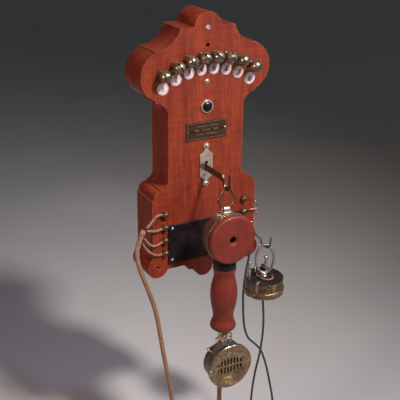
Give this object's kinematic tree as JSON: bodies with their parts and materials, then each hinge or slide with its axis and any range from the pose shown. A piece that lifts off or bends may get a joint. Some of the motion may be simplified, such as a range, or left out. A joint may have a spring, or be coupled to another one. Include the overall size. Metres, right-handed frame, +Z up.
{
  "type": "wall telephone",
  "caption": "Antique wooden wall telephone with a shaped case, a corded handset on a hook lever, a call button and a second hanging receiver.",
  "frame": {"origin": "on the wall plane, on the axis of the hanging hole at the top of the case", "axes": "+Z up the case's long axis, +Y into the wall, +X to the right seen from the front"},
  "size_m": [0.2145, 0.1202, 0.6174],
  "materials": {
    "black_lacquer": "satin",
    "black_resin": "satin",
    "braid": "matte",
    "brass": "aged",
    "bronze": "dark patina",
    "copper": "bright",
    "dark_braid": "matte",
    "dark_wood": "matte",
    "fibre": "matte",
    "iron": "dull",
    "nickel": "worn",
    "old_brass": "dark, aged",
    "old_nickel": "dull, worn",
    "paper": "matte",
    "red_resin": "satin",
    "steel": "dull",
    "winding": "matte",
    "wood": "satin varnish, worn"
  },
  "bodies": {
    "case": {"case_shell": "wood", "back_board": "dark_wood", "back_board_screws": "steel", "case_screws": "nickel", "post_collars": "old_brass", "post_balls": "brass", "post_nuts": "brass", "post_labels": "paper", "name_plate": "bronze", "name_plate_pins": "brass", "button_bezel": "nickel", "button_base": "fibre", "button_contacts": "brass", "button_spring": "steel", "switch_plate": "nickel", "switch_plate_screws": "nickel", "switch_bracket": "brass", "lever_pin": "steel", "switch_springs": "brass", "spring_insulators": "fibre", "terminal_plate": "black_lacquer", "terminal_plate_screws": "nickel", "side_collars": "old_brass", "side_screws": "old_brass", "side_hook": "steel", "line_wires": "copper", "coil_bobbin": "fibre", "coil_winding": "winding", "coil_core": "iron", "coil_bracket": "iron", "cord_tails": "braid", "cord_tie": "braid", "handset_cord": "braid", "receiver_cord": "dark_braid"},
    "call_button": {"call_button": "black_resin"},
    "hook_lever": {"hook_lever": "old_brass"},
    "handset": {"ring_lug": "nickel", "receiver_can": "old_nickel", "receiver_band": "brass", "ear_cap": "red_resin", "ear_diaphragm": "iron", "ear_magnet": "iron", "ear_coils": "winding", "neck_collar": "black_resin", "handle": "red_resin", "handle_rod": "steel", "mic_bracket": "nickel", "mic_can": "old_nickel", "mic_grille": "brass", "mic_screws": "brass", "mic_capsule": "iron", "mic_posts": "nickel", "mic_wires": "copper", "cord_ferrule": "brass"},
    "hanging_ring": {"hanging_ring": "old_brass"},
    "second_receiver": {"second_can": "brass", "second_back": "black_resin", "second_cap": "brass", "second_magnet": "nickel", "second_posts": "nickel"}
  },
  "joints": [
    {"name": "button_push", "type": "slide", "parent": "case", "child": "call_button", "axis": [0, 1, 0], "range_m": [0, 0.0025], "stiffness_N_per_m": 400, "deforming": ["button_spring"]},
    {"name": "handset_lift", "type": "slide", "parent": "case", "child": "handset", "axis": [0, 0, 1], "range_m": [0, 0.02], "deforming": ["handset_cord"]},
    {"name": "hook_lever_rise", "type": "hinge", "parent": "case", "child": "hook_lever", "pos_m": [0, -0.026, -0.15173], "axis": [-1, 0, 0], "range_deg": [0, 6]},
    {"name": "ring_swing", "type": "hinge", "parent": "handset", "child": "hanging_ring", "pos_m": [0, -0.096, -0.18853], "axis": [1, 0, 0], "range_deg": [-1, 1]},
    {"name": "second_receiver_swing", "type": "hinge", "parent": "case", "child": "second_receiver", "pos_m": [0.0844, -0.06, -0.2732], "axis": [0.4226, 0.9063, 0], "range_deg": [-5, 5], "deforming": ["receiver_cord"]}
  ],
  "couplings": [
    {"joint": "hook_lever_rise", "follows": "handset_lift", "rad_per_m": 5.2}
  ]
}
